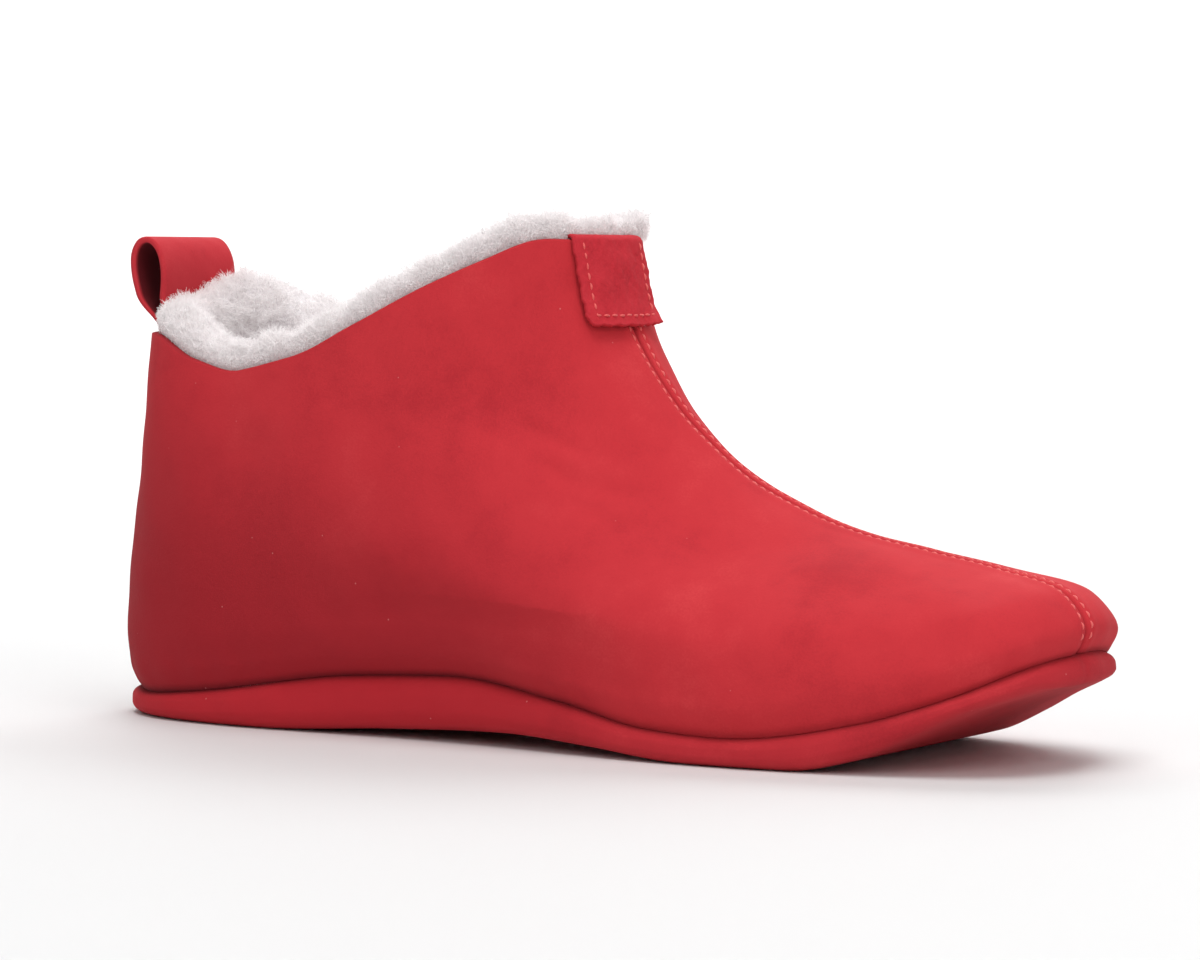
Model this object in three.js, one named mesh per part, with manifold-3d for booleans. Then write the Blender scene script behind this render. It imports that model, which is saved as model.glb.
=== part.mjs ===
// Fleece-lined ankle slipper for the left foot, in millimetres.
// Toe along +X, inner side of the foot along -Y, up along +Z, floor at Z = 0.
import * as THREE from 'three';
import Module from 'manifold-3d';

const wasm = await Module();
wasm.setup();

// Driving sizes
const length = 266; // heel to toe of the upper
const ballWidth = 94; // across the ball of the foot
const heelHeight = 97; // floor to collar at the centre back
const instepHeight = 119.5; // floor to collar at the centre front
const collarDip = 16.3; // how far the collar sinks beside the ankle
const seamDip = 14.8; // how far the sole seam sags below its straight line
const archLift = 3.2; // underside above the floor at the waist
const toeSpring = 19; // underside above the floor at the toe
const toeLean = 4; // how far the toe leans to the inner side
const waistLean = 2.5; // how far the waist leans to the outer side
const collarTurn = 6; // how far the collar's outer front stands ahead of its inner front

// Material thicknesses and clearances
const leather = 2; // wall of the upper and side of the sole
const soleThickness = 3; // bottom of the sole
const fleece = 6.5; // pile of the lining
const fleeceRim = 6; // pile standing above the collar
const clearance = 0.3; // between pieces that touch
const sideBulge = 2; // the sole's side swells out past the seam
const frontSeamDepth = 0.6;
const frontSeamWidth = 3.2;
const footbedCrown = 2.5; // the footbed's middle above its border
const spineInset = 28; // from each end of the sole to the spine down its middle

// Small pieces
const tab = {
  innerHalf: 15, outerHalf: 9, height: 21, turnIn: 5, thickness: 1.4, cornerLift: 1, foldRise: 0.6,
};
const loop = { width: 30, height: 24.2, halfWidth: 5.7, depth: 13, thickness: 1.6, leanBack: 0.1 };
const tuft = { count: 36, radius: 3.1, stretch: 1.3 };

// Rings round the slipper, from the sole seam (level 0) up to the collar (level 1).
// heelX, noseX: shares of length. heelZ: share of heelHeight. noseZ: share of instepHeight.
// heel, waist, ball, toe, nose: half widths along the ring, shares of ballWidth.
const ringColumns = ['level', 'heelX', 'noseX', 'heelZ', 'noseZ', 'heel', 'waist', 'ball', 'toe', 'nose'];
const ringRows = [
  [0.00, 0.018, 1.014, 0.070, 0.2225, 0.50, 0.37, 0.515, 0.65, 0.90],
  [0.06, 0.010, 1.019, 0.135, 0.2655, 0.53, 0.41, 0.54, 0.67, 0.95],
  [0.14, 0.007, 0.996, 0.215, 0.332, 0.53, 0.425, 0.535, 0.62, 0.90],
  [0.24, 0.008, 0.914, 0.315, 0.379, 0.52, 0.425, 0.515, 0.51, 0.60],
  [0.38, 0.014, 0.787, 0.450, 0.433, 0.51, 0.425, 0.475, 0.41, 0.36],
  [0.52, 0.023, 0.678, 0.590, 0.529, 0.50, 0.415, 0.435, 0.37, 0.33],
  [0.68, 0.032, 0.602, 0.740, 0.681, 0.48, 0.395, 0.405, 0.37, 0.39],
  [0.84, 0.040, 0.556, 0.870, 0.847, 0.47, 0.37, 0.385, 0.40, 0.50],
  [1.00, 0.045, 0.542, 1.000, 1.000, 0.46, 0.345, 0.365, 0.41, 0.52],
];
const widthColumns = ['heel', 'waist', 'ball', 'toe', 'nose'];
const widthStations = [0, 0.35, 0.7, 0.9, 1]; // shares of the way from heel to nose

// Along a ring: how deep the sole seam and the collar dip, as shares of seamDip and collarDip
const seamRows = {
  along: [0, 0.06, 0.15, 0.3, 0.42, 0.55, 0.65, 0.75, 0.85, 0.93, 1],
  dip: [0, 0.11, 0.06, -0.11, -0.06, 0.38, 0.83, 1, 0.83, 0.49, 0],
};
const collarRows = {
  along: [0, 0.08, 0.2, 0.32, 0.45, 0.6, 0.75, 0.86, 0.94, 1],
  dip: [0, 0.16, 0.68, 1, 0.97, 0.68, 0.32, 0.08, -0.09, 0],
};

// Along the length: the centre line's lean, and the underside's lift off the floor,
// as shares of waistLean, toeLean, archLift and toeSpring
const leanRows = {
  along: [0, 0.25, 0.5, 0.7, 0.85, 1],
  waist: [0, 0.5, 1, 0.4, 0, 0],
  toe: [0, 0, 0, 0, 0.2, 1],
};
const floorRows = {
  along: [0, 0.04, 0.22, 0.36, 0.5, 0.6, 0.7, 0.8, 0.86, 0.91, 0.95, 1],
  arch: [0, 0, 0, 0.6, 1, 0.6, 0, 0, 0, 0, 0, 0],
  spring: [0.05, 0, 0, 0, 0, 0, 0, 0, 0.16, 0.46, 0.74, 1],
};

// The sole's wall, from the seam down and under: height as a share of the way down,
// out as a share of sideBulge past the seam
const soleWallRows = [
  { down: 0, out: 0 },
  { down: 0.12, out: 0.55 },
  { down: 0.35, out: 0.95 },
  { down: 0.6, out: 1 },
  { down: 0.84, out: 0.55 },
  { down: 0.96, out: -0.3 },
  { down: 1, out: -1.4 },
];
const spineShares = [0.72, 0.36, 0]; // rings of the underside, drawn in to the spine

// The footbed's border, from its underside to its top: in from the sole's inner face as a share of
// sideBulge, and up as a share of the way from the floor to the seam
const footbedRows = [
  { drawn: 1.4, up: 0 },
  { drawn: 0.3, up: 0.3 },
  { drawn: 0, up: 0.75 },
  { drawn: 0.75, up: 1 },
];

// The top of the fleece, from the leather's inner face to the foot side
const rimRows = [
  { across: 0.02, up: 0.3 },
  { across: 0.1, up: 0.75 },
  { across: 0.4, up: 1 },
  { across: 0.75, up: 0.9 },
  { across: 1.02, up: 0.45 },
];

const mix = THREE.MathUtils.lerp;
const { clamp, smoothstep } = THREE.MathUtils;

// Cubic through the points that never overshoots and stays level between equal values
function through(xs, ys) {
  const slopes = xs.slice(1).map((x, i) => (ys[i + 1] - ys[i]) / (x - xs[i]));
  const tangents = xs.map((_, i) => {
    const before = slopes[i - 1] ?? slopes[i];
    const after = slopes[i] ?? slopes[i - 1];
    return before * after <= 0 ? 0 : (2 * before * after) / (before + after);
  });
  return (x) => {
    const i = clamp(xs.findLastIndex((knot) => knot <= x), 0, xs.length - 2);
    const step = xs[i + 1] - xs[i];
    const s = clamp((x - xs[i]) / step, 0, 1);
    const rise = s * s * (3 - 2 * s);
    const swell = s * (1 - s) * step;
    const start = tangents[i] * (1 - s);
    const end = tangents[i + 1] * s;
    return mix(ys[i], ys[i + 1], rise) + swell * (start - end);
  };
}

const column = (name) => ringRows.map((row) => row[ringColumns.indexOf(name)]);
const ringCurves = Object.fromEntries(
  ringColumns.map((name) => [name, through(column('level'), column(name))]),
);
const seamCurve = through(seamRows.along, seamRows.dip);
const collarCurve = through(collarRows.along, collarRows.dip);
const waistCurve = through(leanRows.along, leanRows.waist);
const toeCurve = through(leanRows.along, leanRows.toe);
const archCurve = through(floorRows.along, floorRows.arch);
const springCurve = through(floorRows.along, floorRows.spring);

const lean = (x) => waistLean * waistCurve(x / length) - toeLean * toeCurve(x / length);
const underside = (x) => archLift * archCurve(x / length) + toeSpring * springCurve(x / length);

// One ring: its ends at heel and nose, and its half width on the way between them
const rings = new Map();
function ring(level) {
  if (!rings.has(level)) {
    const share = (name) => ringCurves[name](level);
    rings.set(level, {
      heel: new THREE.Vector2(length * share('heelX'), heelHeight * share('heelZ')),
      nose: new THREE.Vector2(length * share('noseX'), instepHeight * share('noseZ')),
      halfWidth: through(widthStations, widthColumns.map((name) => ballWidth * share(name))),
    });
  }
  return rings.get(level);
}

// Outward normal of the centre-back or centre-front line, seen from the side
function lineNormal(end, level) {
  const step = 0.004;
  const below = ring(Math.max(level - step, 0))[end];
  const above = ring(Math.min(level + step, 1))[end];
  const along = above.clone().sub(below).normalize();
  const outward = end === 'nose' ? 1 : -1;
  return new THREE.Vector2(along.y * outward, -along.x * outward);
}

// Point of the ring at a level, drawn in by an inset.
// The angle runs from the heel (0) round the inner side to the nose (PI) and back.
function ringPoint(level, angle, inset = 0) {
  const { halfWidth } = ring(level);
  const heel = ring(level).heel.clone().addScaledVector(lineNormal('heel', level), -inset);
  const nose = ring(level).nose.clone().addScaledVector(lineNormal('nose', level), -inset);
  const along = (1 - Math.cos(angle)) / 2;
  const x = mix(heel.x, nose.x, along) - collarTurn * Math.sin(angle) * (along * level) ** 2;
  const z = mix(heel.y, nose.y, along)
    - seamDip * seamCurve(along) * (1 - level) ** 3
    - collarDip * collarCurve(along) * level ** 2;
  const y = -(halfWidth(along) - inset) * Math.sin(angle) + lean(x) * (1 - level);
  return new THREE.Vector3(x, y, z);
}

// Outward normal of the leather. Its edges at the sole seam and the collar are square to the wall.
function skinNormal(level, angle) {
  const step = 0.003;
  const up = ringPoint(Math.min(level + step, 1), angle).sub(ringPoint(Math.max(level - step, 0), angle));
  const round = ringPoint(level, angle + step).sub(ringPoint(level, angle - step));
  const normal = round.cross(up).normalize();
  normal.z *= smoothstep(level, 0, 0.1) * smoothstep(1 - level, 0, 0.06);
  return normal.normalize();
}

// Point of the leather at a depth below its outer face
function skin(level, angle, depth) {
  return ringPoint(level, angle).addScaledVector(skinNormal(level, angle), -depth);
}

// The centre-front seam sinks into the outer face
function seamGroove(level, angle) {
  const away = (ring(level).halfWidth(1) * (angle - Math.PI)) / (frontSeamWidth / 2);
  return frontSeamDepth * Math.exp(-away * away);
}

// Stations round a ring, with a few more at the front seam
function stationsRound(count, seamAngles = []) {
  const even = Array.from({ length: count }, (_, i) => (2 * Math.PI * i) / count);
  const kept = even.filter((angle) => seamAngles.every((extra) => Math.abs(extra + Math.PI - angle) > 0.02));
  return [...kept, ...seamAngles.map((extra) => extra + Math.PI)].sort((a, b) => a - b);
}

const spread = (count, from = 0, to = 1) =>
  Array.from({ length: count }, (_, i) => mix(from, to, i / (count - 1)));

// Triangles between two rows of points, closed round the row where asked
function strip(lower, upper, closed) {
  const faces = [];
  const count = lower.length - (closed ? 0 : 1);
  for (let i = 0; i < count; i += 1) {
    const j = (i + 1) % lower.length;
    faces.push([lower[i], lower[j], upper[j]], [lower[i], upper[j], upper[i]]);
  }
  return faces;
}

// Closed geometry from triangles: equal corners are shared and empty triangles dropped
function closedGeometry(faces) {
  const corners = new Map();
  const positions = [];
  const cornerIndex = (p) => {
    const key = [p.x, p.y, p.z].map((value) => Math.round(value * 1e3)).join(' ');
    if (!corners.has(key)) {
      corners.set(key, corners.size);
      positions.push(p.x, p.y, p.z);
    }
    return corners.get(key);
  };
  const triangles = faces
    .map((face) => face.map(cornerIndex))
    .filter(([a, b, c]) => a !== b && b !== c && c !== a);
  const geometry = new THREE.BufferGeometry();
  geometry.setAttribute('position', new THREE.Float32BufferAttribute(positions, 3));
  geometry.setIndex(triangles.flat());
  return geometry;
}

// Rows of closed loops, joined in turn: a tube closed on itself, or shut at both ends on a line
function loopSolid(rows, closesOnItself) {
  const faces = rows.slice(1).flatMap((row, i) => strip(rows[i], row, true));
  if (closesOnItself) faces.push(...strip(rows.at(-1), rows[0], true));
  return closedGeometry(faces);
}

// A sheet between two grids of points, with its four edges closed
function sheetSolid(front, back) {
  const edge = (grid, last) => grid.map((row) => row.at(last ? -1 : 0));
  const faces = front.slice(1).flatMap((row, i) => strip(front[i], row, false));
  faces.push(...back.slice(1).flatMap((row, i) => strip(row, back[i], false)));
  faces.push(...strip(back[0], front[0], false), ...strip(front.at(-1), back.at(-1), false));
  faces.push(...strip(edge(front, false), edge(back, false), false));
  faces.push(...strip(edge(back, true), edge(front, true), false));
  return closedGeometry(faces);
}

function toManifold(geometry) {
  const vertProperties = new Float32Array(geometry.attributes.position.array);
  const triVerts = new Uint32Array(geometry.index.array);
  const solid = new wasm.Manifold(new wasm.Mesh({ numProp: 3, vertProperties, triVerts }));
  if (solid.volume() > 0) return solid;
  const turned = triVerts.slice();
  for (let i = 0; i < turned.length; i += 3) [turned[i], turned[i + 1]] = [triVerts[i + 1], triVerts[i]];
  return new wasm.Manifold(new wasm.Mesh({ numProp: 3, vertProperties, triVerts: turned }));
}

function toGeometry(solid) {
  const mesh = solid.getMesh();
  const geometry = new THREE.BufferGeometry();
  geometry.setAttribute('position', new THREE.BufferAttribute(mesh.vertProperties, 3));
  geometry.setIndex(new THREE.BufferAttribute(mesh.triVerts, 1));
  geometry.computeVertexNormals();
  return geometry;
}

function piece(name, solid, finish) {
  const mesh = new THREE.Mesh(toGeometry(solid), new THREE.MeshStandardMaterial(finish));
  mesh.name = name;
  return mesh;
}

// Facets are shared by neighbours, so that the gap between two curved faces stays even
const grooveAngle = Math.asin(frontSeamWidth / (2 * ballWidth * ringCurves.nose(0.5)));
const stations = stationsRound(48, [-2, -1, 0, 1, 2].map((share) => share * grooveAngle));
const wallLevels = [0, 0.03, 0.06, 0.1, 0.14, 0.19, 0.24, 0.31, 0.38, 0.45, 0.52, 0.68, 0.82, 0.91, 1];

// Upper: one wall of leather between the sole seam and the collar, open above and below
function upper() {
  const row = (level, depth) => stations.map((angle) => skin(level, angle, depth(level, angle)));
  const outside = wallLevels.map((level) => row(level, seamGroove));
  const inside = wallLevels.map((level) => row(level, () => leather)).reverse();
  return toManifold(loopSolid([...outside, ...inside], true));
}

// Ring round the sole seam, moved out in plan by a distance and down by a height
const seamAt = (angle) => ringPoint(0, angle);
function seamOut(angle, out) {
  const normal = skinNormal(0, angle);
  return seamAt(angle).addScaledVector(normal, out);
}

// A ring's points drawn in towards the spine, which runs down the middle of the sole.
// Points across from each other share their place on the spine.
function drawnIn(points, share, height) {
  return points.map((point, i) => {
    const twin = Math.min(i, points.length - i);
    const x = clamp(seamAt(stations[twin]).x, spineInset, length - spineInset);
    const drawn = new THREE.Vector3(mix(x, point.x, share), mix(lean(x), point.y, share), 0);
    return drawn.setZ(height(drawn.x, share));
  });
}

// Sole: a soft leather dish with its side turned up to the seam
function sole() {
  const top = -clearance;
  const wallRing = (row, inset, floor) => stations.map((angle) => {
    const point = seamOut(angle, sideBulge * row.out - inset);
    const bottom = underside(point.x) + floor;
    point.z = mix(seamAt(angle).z + top, bottom, row.down);
    return point;
  });
  const outer = soleWallRows.map((row) => wallRing(row, 0, 0));
  const outerFloor = spineShares.map((share) => drawnIn(outer.at(-1), share, underside));
  const innerRows = soleWallRows.filter((_, i) => i % 2 === 0);
  const innerWall = innerRows.map((row) => wallRing(row, leather, soleThickness));
  const floor = (x) => underside(x) + soleThickness;
  const innerFloor = spineShares.map((share) => drawnIn(innerWall.at(-1), share, floor));
  const rows = [...outerFloor.reverse(), ...outer.reverse(), ...innerWall, ...innerFloor];
  return toManifold(loopSolid(rows, false));
}

// Footbed: a fleece pad that fills the dish of the sole up to the seam
function insole() {
  const border = leather + clearance;
  const floor = (x) => underside(x) + soleThickness + clearance;
  const edge = footbedRows.map(({ drawn, up }) => stations.map((angle) => {
    const point = seamOut(angle, -border - drawn * sideBulge);
    return point.setZ(mix(floor(point.x), seamAt(angle).z, up));
  }));
  const topEdge = edge.at(-1);
  const lowerFloor = spineShares.map((share) => drawnIn(edge[0], share, floor));
  const crown = spineShares.map((share) => {
    const row = drawnIn(topEdge, share, (x) => floor(x) + fleece / 2 + footbedCrown);
    const rest = smoothstep(share, 0, spineShares[0]);
    return row.map((point, i) => point.setZ(mix(point.z, topEdge[i].z, rest)));
  });
  return toManifold(loopSolid([...lowerFloor.reverse(), ...edge, ...crown], false));
}

// Front tab: a strip of suede folded over the collar at the front, wider on the inner side of the seam.
// Its lower corners stand off the leather.
// Grown by a margin, it is also the room that the lining leaves for it.
function frontTab(margin = 0) {
  const near = leather / 2 + clearance;
  const far = near + tab.thickness;
  const levelBelow = (drop) => {
    const top = ringPoint(1, Math.PI);
    let [low, high] = [0.3, 1];
    for (let i = 0; i < 24; i += 1) {
      const middle = (low + high) / 2;
      if (ringPoint(middle, Math.PI).distanceTo(top) > drop) low = middle;
      else high = middle;
    }
    return low;
  };
  const outerFlap = spread(7, levelBelow(tab.height + margin), 1).map((level) => ({ level, turn: Math.PI }));
  const fold = spread(5, 1, 0).slice(1, -1).map((share) => ({ level: 1, turn: Math.PI * share }));
  const innerFlap = spread(3, 1, levelBelow(tab.turnIn + margin)).map((level) => ({ level, turn: 0 }));
  const rows = [...outerFlap, ...fold, ...innerFlap];
  const across = spread(9, -1, 1);
  const point = ({ level, turn }, share, reach) => {
    const reachAside = (share < 0 ? tab.innerHalf : tab.outerHalf) + margin;
    const half = Math.asin(reachAside / ring(level).halfWidth(1));
    const loose = turn === Math.PI ? tab.cornerLift * share ** 2 * smoothstep(1 - level, 0, 0.16) : 0;
    const depth = leather / 2 + Math.cos(turn) * (reach + loose);
    const lifted = skin(level, Math.PI + half * share, depth);
    lifted.z += Math.sin(turn) * reach * tab.foldRise;
    return lifted;
  };
  const layer = (reach) => rows.map((row) => across.map((share) => point(row, share, reach)));
  return toManifold(sheetSolid(layer(far + margin), layer(near - margin)));
}

// How far forward the heel's inner face lies, at a height and a distance from the centre line
function heelFace(y, z) {
  let [level, angle] = [1, 0];
  for (let i = 0; i < 12; i += 1) {
    const miss = new THREE.Vector3(0, y, z).sub(skin(level, angle, leather));
    level = clamp(level + miss.z / heelHeight, 0.5, 1);
    angle -= miss.y / ring(level).halfWidth(0);
  }
  return skin(level, angle, leather).x;
}

// Heel loop: a strap bent to a drop, its two legs held between leather and fleece at the centre back.
// Grown by a margin, it is also the room that the lining leaves for its legs.
function heelLoop(margin = 0) {
  const gap = clearance + loop.thickness / 2;
  const spacing = loop.thickness + clearance;
  const middle = gap + spacing / 2; // from the heel's inner face to between the legs
  const legs = spread(4, 1, 0).slice(0, -1).map((share) => -(loop.depth + margin) * share);
  const drop = spread(19, 0, 2 * Math.PI).map((turn) => ({
    side: -Math.cos(turn / 2) * (spacing / 2) - loop.halfWidth * Math.sin(turn) * Math.sin(turn / 2) ** 1.4,
    up: (loop.height - loop.thickness / 2) * ((1 - Math.cos(turn)) / 2),
  }));
  const path = [
    ...legs.map((up) => ({ side: -spacing / 2, up })),
    ...drop,
    ...legs.reverse().map((up) => ({ side: spacing / 2, up })),
  ].map(({ side, up }) => new THREE.Vector2(side, up));
  const normals = path.map((_, i) => {
    const along = path[Math.min(i + 1, path.length - 1)].clone().sub(path[Math.max(i - 1, 0)]).normalize();
    return new THREE.Vector2(-along.y, along.x);
  });
  const across = spread(7, -1, 1).map((share) => share * (loop.width / 2 + margin));
  const layer = (reach) => path.map((p, i) => across.map((y) => {
    const at = p.clone().addScaledVector(normals[i], reach);
    const straight = smoothstep(at.y, 0, loop.height * 0.4) * 0.92;
    const rest = heelHeight + Math.min(at.y, 0);
    const base = mix(heelFace(y, rest), heelFace(0, rest), straight);
    const x = base + middle + at.x - loop.leanBack * Math.max(at.y, 0);
    return new THREE.Vector3(x, y, heelHeight + at.y);
  }));
  const half = loop.thickness / 2 + margin;
  return toManifold(sheetSolid(layer(half), layer(-half)));
}

// The fleece that a solid takes up, filled in between the two legs of the loop
function loopRoom() {
  return heelLoop(clearance).hull();
}

// Fleece lining: a thick inner sock that stands above the collar, its rim in tufts
function fleeceLining() {
  const outerDepth = leather + clearance;
  const innerDepth = outerDepth + fleece;
  const foot = 0.008; // the lining's lower edge stands just above the footbed
  const outerAt = (level, angle) => skin(level, angle, outerDepth);
  const innerAt = (level, angle) => ringPoint(level, angle, innerDepth);
  const rimAt = (across, up, angle) => {
    const point = outerAt(1, angle).lerp(innerAt(1, angle), across);
    return point.setZ(point.z + fleeceRim * up);
  };
  const outerLevels = [foot, ...wallLevels.slice(1)].reverse(); // in the order of the leather's inner face
  const innerLevels = [foot, 0.06, 0.14, 0.24, 0.38, 0.6, 0.84, 1];
  const outside = outerLevels.map((level) => stations.map((angle) => outerAt(level, angle)));
  const inside = innerLevels.map((level) => stations.map((angle) => innerAt(level, angle)));
  const rim = rimRows.map(({ across, up }) => stations.map((angle) => rimAt(across, up, angle))).reverse();
  const sock = toManifold(loopSolid([...outside, ...inside, ...rim], true));
  const tufts = Array.from({ length: tuft.count }, (_, i) => {
    const angle = (2 * Math.PI * (i + 0.35 * Math.sin(7.3 * i))) / tuft.count;
    const across = 0.62 + 0.16 * Math.sin(2.4 * i);
    const size = tuft.radius * (1 + 0.18 * Math.sin(4.1 * i));
    const lump = new THREE.IcosahedronGeometry(size, 0);
    lump.scale(1, 1, tuft.stretch);
    lump.rotateZ(1.7 * i);
    lump.rotateX(0.3 * Math.sin(3.1 * i));
    const at = rimAt(across, 0.84 + 0.12 * Math.sin(5.2 * i), angle);
    lump.translate(at.x, at.y, at.z);
    const position = lump.attributes.position;
    const corner = (k) => new THREE.Vector3().fromBufferAttribute(position, k);
    const faces = spread(position.count / 3, 0, position.count - 3)
      .map((k) => [corner(Math.round(k)), corner(Math.round(k) + 1), corner(Math.round(k) + 2)]);
    return toManifold(closedGeometry(faces));
  });
  const fused = wasm.Manifold.union([sock, ...tufts]);
  const cut = fused.subtract(frontTab(clearance)).subtract(loopRoom());
  // Slivers that the cuts leave loose are dropped
  return cut.decompose().sort((a, b) => b.volume() - a.volume())[0];
}

const slipper = new THREE.Group();
slipper.add(
  piece('upper', upper(), { color: 0xc23540, roughness: 0.88, metalness: 0 }),
  piece('sole', sole(), { color: 0xb32a38, roughness: 0.9, metalness: 0 }),
  piece('insole', insole(), { color: 0xd6d1d2, roughness: 1, metalness: 0 }),
  piece('fleece_lining', fleeceLining(), { color: 0xdcd8da, roughness: 1, metalness: 0 }),
  piece('front_tab', frontTab(), { color: 0xb82c38, roughness: 0.95, metalness: 0 }),
  piece('heel_loop', heelLoop(), { color: 0xb93540, roughness: 0.88, metalness: 0 }),
);

// The origin lies on the floor under the middle of the heel
const heelRest = 0.12 * length;
slipper.position.x = -heelRest;

const part = new THREE.Group();
part.add(slipper);

export default part;
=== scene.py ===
# %% [markdown]
# # A fleece-lined ankle slipper
# The slipper is two halves of soft red nubuck joined down the front, a soft leather sole turned up
# at its side, a thick fleece sock inside, a suede tab at the front and a pull loop at the heel.
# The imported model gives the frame. Every surface here is worked out with the same formulas as the
# solids, only finer, and each piece then stands for one node of the frame.

# %% Load the frame
import math

import bmesh
import bpy
import numpy as np
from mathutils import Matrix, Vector


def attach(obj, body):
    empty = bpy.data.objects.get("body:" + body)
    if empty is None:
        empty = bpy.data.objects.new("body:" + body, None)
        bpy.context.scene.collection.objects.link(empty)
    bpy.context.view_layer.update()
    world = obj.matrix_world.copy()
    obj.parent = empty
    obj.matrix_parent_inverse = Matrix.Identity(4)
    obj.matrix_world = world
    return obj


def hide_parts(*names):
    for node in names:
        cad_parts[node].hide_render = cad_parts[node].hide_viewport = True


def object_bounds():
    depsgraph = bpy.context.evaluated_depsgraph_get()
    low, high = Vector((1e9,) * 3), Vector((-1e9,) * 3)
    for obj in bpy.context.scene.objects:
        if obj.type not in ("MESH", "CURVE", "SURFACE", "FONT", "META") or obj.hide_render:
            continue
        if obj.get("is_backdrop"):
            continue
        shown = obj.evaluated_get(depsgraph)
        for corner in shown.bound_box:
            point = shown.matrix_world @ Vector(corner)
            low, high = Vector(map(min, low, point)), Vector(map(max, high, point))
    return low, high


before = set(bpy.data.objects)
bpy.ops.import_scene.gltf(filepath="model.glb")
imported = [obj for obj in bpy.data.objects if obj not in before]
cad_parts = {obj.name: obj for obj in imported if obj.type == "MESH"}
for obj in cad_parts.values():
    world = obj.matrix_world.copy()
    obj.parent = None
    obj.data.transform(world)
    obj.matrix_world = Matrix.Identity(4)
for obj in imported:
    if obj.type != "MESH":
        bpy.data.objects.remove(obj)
cad_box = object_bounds()
print("nodes of the frame:", sorted(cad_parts))

# %% [markdown]
# ## The sizes of the last
# A shoemaker starts from the last, the form that the leather is drawn over. All of these sizes are
# in millimetres, and each table holds shares of them. One could model the form by hand with a
# subdivision cage, but a function of a few sizes keeps every piece on the same surface, so that
# stitches, seams and fleece all land where the leather is.

# %% Driving sizes
MM = 0.001
LENGTH = 266.0
BALL_WIDTH = 94.0
HEEL_HEIGHT = 97.0
INSTEP_HEIGHT = 119.5
COLLAR_DIP = 16.3
SEAM_DIP = 14.8
ARCH_LIFT = 3.2
TOE_SPRING = 19.0
TOE_LEAN = 4.0
WAIST_LEAN = 2.5
COLLAR_TURN = 6.0  # the collar's outer front stands ahead of its inner front
LEATHER = 2.0
SOLE_THICKNESS = 3.0
FLEECE = 6.5
CLEARANCE = 0.3
SIDE_BULGE = 2.0
HEEL_REST = 0.12 * LENGTH  # the frame's origin, from the back of the heel

# Rings round the slipper from the sole seam (level 0) to the collar (level 1)
RING_COLUMNS = ("level", "heel_x", "nose_x", "heel_z", "nose_z", "heel", "waist", "ball", "toe", "nose")
RING_ROWS = np.array([
    (0.00, 0.018, 1.014, 0.070, 0.2225, 0.50, 0.37, 0.515, 0.65, 0.90),
    (0.06, 0.010, 1.019, 0.135, 0.2655, 0.53, 0.41, 0.54, 0.67, 0.95),
    (0.14, 0.007, 0.996, 0.215, 0.332, 0.53, 0.425, 0.535, 0.62, 0.90),
    (0.24, 0.008, 0.914, 0.315, 0.379, 0.52, 0.425, 0.515, 0.51, 0.60),
    (0.38, 0.014, 0.787, 0.450, 0.433, 0.51, 0.425, 0.475, 0.41, 0.36),
    (0.52, 0.023, 0.678, 0.590, 0.529, 0.50, 0.415, 0.435, 0.37, 0.33),
    (0.68, 0.032, 0.602, 0.740, 0.681, 0.48, 0.395, 0.405, 0.37, 0.39),
    (0.84, 0.040, 0.556, 0.870, 0.847, 0.47, 0.37, 0.385, 0.40, 0.50),
    (1.00, 0.045, 0.542, 1.000, 1.000, 0.46, 0.345, 0.365, 0.41, 0.52),
])
RING = {name: RING_ROWS[:, i] for i, name in enumerate(RING_COLUMNS)}
WIDTH_STATIONS = np.array([0, 0.35, 0.7, 0.9, 1])
SEAM = {
    "along": [0, 0.06, 0.15, 0.3, 0.42, 0.55, 0.65, 0.75, 0.85, 0.93, 1],
    "dip": [0, 0.11, 0.06, -0.11, -0.06, 0.38, 0.83, 1, 0.83, 0.49, 0],
}
COLLAR = {
    "along": [0, 0.08, 0.2, 0.32, 0.45, 0.6, 0.75, 0.86, 0.94, 1],
    "dip": [0, 0.16, 0.68, 1, 0.97, 0.68, 0.32, 0.08, -0.09, 0],
}
LEAN = {
    "along": [0, 0.25, 0.5, 0.7, 0.85, 1],
    "waist": [0, 0.5, 1, 0.4, 0, 0],
    "toe": [0, 0, 0, 0, 0.2, 1],
}
FLOOR = {
    "along": [0, 0.04, 0.22, 0.36, 0.5, 0.6, 0.7, 0.8, 0.86, 0.91, 0.95, 1],
    "arch": [0, 0, 0, 0.6, 1, 0.6, 0, 0, 0, 0, 0, 0],
    "spring": [0.05, 0, 0, 0, 0, 0, 0, 0, 0.16, 0.46, 0.74, 1],
}


def through(xs, ys, x):
    """Cubic through (xs, ys) at x, with each tangent the harmonic mean of the two slopes beside it.

    The last axis of ys holds the knots, and its other axes follow those of x.
    """
    xs, ys, x = np.asarray(xs, float), np.asarray(ys, float), np.asarray(x, float)
    slopes = np.diff(ys) / np.diff(xs)
    before = np.concatenate([slopes[..., :1], slopes], -1)
    after = np.concatenate([slopes, slopes[..., -1:]], -1)
    product = before * after
    tangents = np.where(product > 0, 2 * product / np.where(product > 0, before + after, 1), 0)
    i = np.clip(np.searchsorted(xs, x, side="right") - 1, 0, len(xs) - 2)
    shape = np.broadcast_shapes(x.shape, ys.shape[:-1])
    i, x = np.broadcast_to(i, shape), np.broadcast_to(x, shape)

    def pick(values, index):
        full = np.broadcast_to(values, shape + values.shape[-1:])
        return np.take_along_axis(full, index[..., None], -1)[..., 0]

    step = xs[i + 1] - xs[i]
    s = np.clip((x - xs[i]) / step, 0, 1)
    low, high = pick(ys, i), pick(ys, i + 1)
    swell = s * (1 - s) * step * (pick(tangents, i) * (1 - s) - pick(tangents, i + 1) * s)
    return low + (high - low) * s * s * (3 - 2 * s) + swell


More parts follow.
